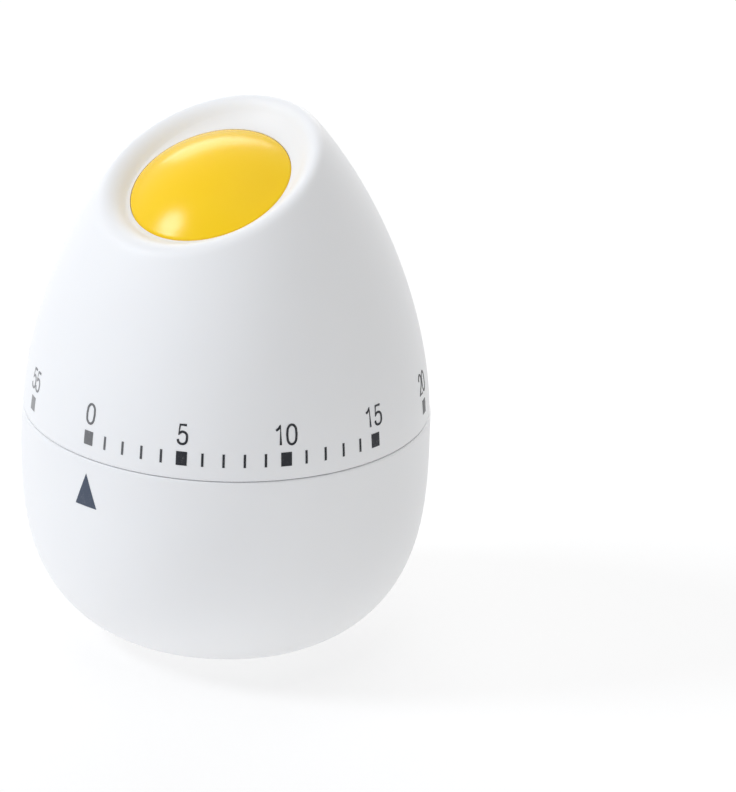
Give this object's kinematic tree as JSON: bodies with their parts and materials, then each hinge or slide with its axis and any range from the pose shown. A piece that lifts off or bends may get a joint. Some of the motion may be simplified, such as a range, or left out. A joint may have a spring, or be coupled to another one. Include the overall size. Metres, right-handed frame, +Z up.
{
  "type": "kitchen timer",
  "caption": "Egg-shaped mechanical kitchen timer: the upper half turns as a dial over a wound movement with a bell, and a yellow yolk dome sits in its sloping top.",
  "frame": {"origin": "centre of the flat foot, on the surface it stands on", "axes": "+Z up along the dial's axis; -Y faces the pointer and the dial's zero mark, where the sloping top is lowest"},
  "size_m": [0.0562, 0.0562, 0.0757],
  "materials": {
    "white_plastic": "satin white moulded ABS",
    "yolk_plastic": "glossy yolk-yellow moulded plastic",
    "plate_steel": "zinc-plated sheet steel, brushed",
    "turned_steel": "turned steel",
    "spring_steel": "blued spring steel",
    "brass": "machined brass",
    "bell_metal": "nickel-plated pressed steel",
    "acetal": "natural acetal",
    "print_ink": "dark pad-printed ink"
  },
  "bodies": {
    "base": {"base_shell": "white_plastic", "base_cover": "white_plastic", "lower_plate": "plate_steel", "upper_plate": "plate_steel", "plate_pillars": "turned_steel", "pillar_nuts": "brass", "movement_screws": "turned_steel", "mainspring": "spring_steel", "spring_post": "turned_steel", "stop_pin": "turned_steel", "lever_post": "turned_steel", "hammer_spring": "spring_steel", "bell": "bell_metal", "bell_post": "brass", "bell_screw": "turned_steel"},
    "dial": {"dial_shell": "white_plastic", "yolk_dome": "yolk_plastic", "winding_arbor": "turned_steel", "ratchet_wheel": "turned_steel", "stop_finger": "plate_steel", "trip_cam": "acetal"},
    "main_wheel": {"main_wheel": "brass", "click_rivet": "brass", "click_spring": "spring_steel"},
    "click": {"click": "turned_steel"},
    "second_wheel": {"second_arbor": "turned_steel", "second_wheel": "brass"},
    "third_wheel": {"third_arbor": "turned_steel", "third_wheel": "brass"},
    "escape_wheel": {"escape_arbor": "turned_steel", "escape_wheel": "brass"},
    "pallet": {"pallet_arbor": "turned_steel", "pallet_lever": "brass"},
    "trip_lever": {"trip_lever": "plate_steel"},
    "hammer": {"hammer_arbor": "turned_steel", "hammer": "plate_steel", "hammer_tail": "plate_steel"}
  },
  "joints": [
    {"name": "dial_turn", "type": "hinge", "parent": "base", "child": "dial", "pos_m": [0, 0, 0], "axis": [0, 0, -1], "range_deg": [0, 340.01], "stiffness_Nm_per_rad": 0.004, "springref_deg": -114.59},
    {"name": "main_wheel_turn", "type": "hinge", "parent": "base", "child": "main_wheel", "pos_m": [0, 0, 0], "axis": [0, 0, -1], "range_deg": [0, 340.51]},
    {"name": "click_lift", "type": "hinge", "parent": "main_wheel", "child": "click", "pos_m": [0.0059, 0.007, 0], "axis": [0, 0, 1], "range_deg": [0, 8], "stiffness_Nm_per_rad": 0.0001, "springref_deg": -28.65},
    {"name": "second_wheel_turn", "type": "hinge", "parent": "base", "child": "second_wheel", "pos_m": [0.0153, 0, 0], "axis": [0, 0, -1], "range_deg": [-2550.54, 0]},
    {"name": "third_wheel_turn", "type": "hinge", "parent": "base", "child": "third_wheel", "pos_m": [0.01236, 0.00935, 0], "axis": [0, 0, -1], "range_deg": [0, 15300.76]},
    {"name": "escape_wheel_turn", "type": "hinge", "parent": "base", "child": "escape_wheel", "pos_m": [0.00643, 0.01465, 0], "axis": [0, 0, -1], "range_deg": [-86064.49, 0]},
    {"name": "pallet_rock", "type": "hinge", "parent": "base", "child": "pallet", "pos_m": [0.00111, 0.01696, 0], "axis": [0, 0, 1], "range_deg": [-5, 5]},
    {"name": "trip_lever_drop", "type": "hinge", "parent": "base", "child": "trip_lever", "pos_m": [-0.00871, 0.00949, 0], "axis": [0, 0, 1], "range_deg": [-7.5, 0]},
    {"name": "hammer_swing", "type": "hinge", "parent": "base", "child": "hammer", "pos_m": [-0.01542, 0.00413, 0], "axis": [0, 0, 1], "range_deg": [0, 3.22], "stiffness_Nm_per_rad": 0.001, "springref_deg": -11.46}
  ],
  "couplings": [
    {"joint": "main_wheel_turn", "follows": "dial_turn", "ratio": 1},
    {"joint": "second_wheel_turn", "follows": "dial_turn", "ratio": -7.5},
    {"joint": "third_wheel_turn", "follows": "dial_turn", "ratio": 45},
    {"joint": "escape_wheel_turn", "follows": "dial_turn", "ratio": -253.12}
  ]
}
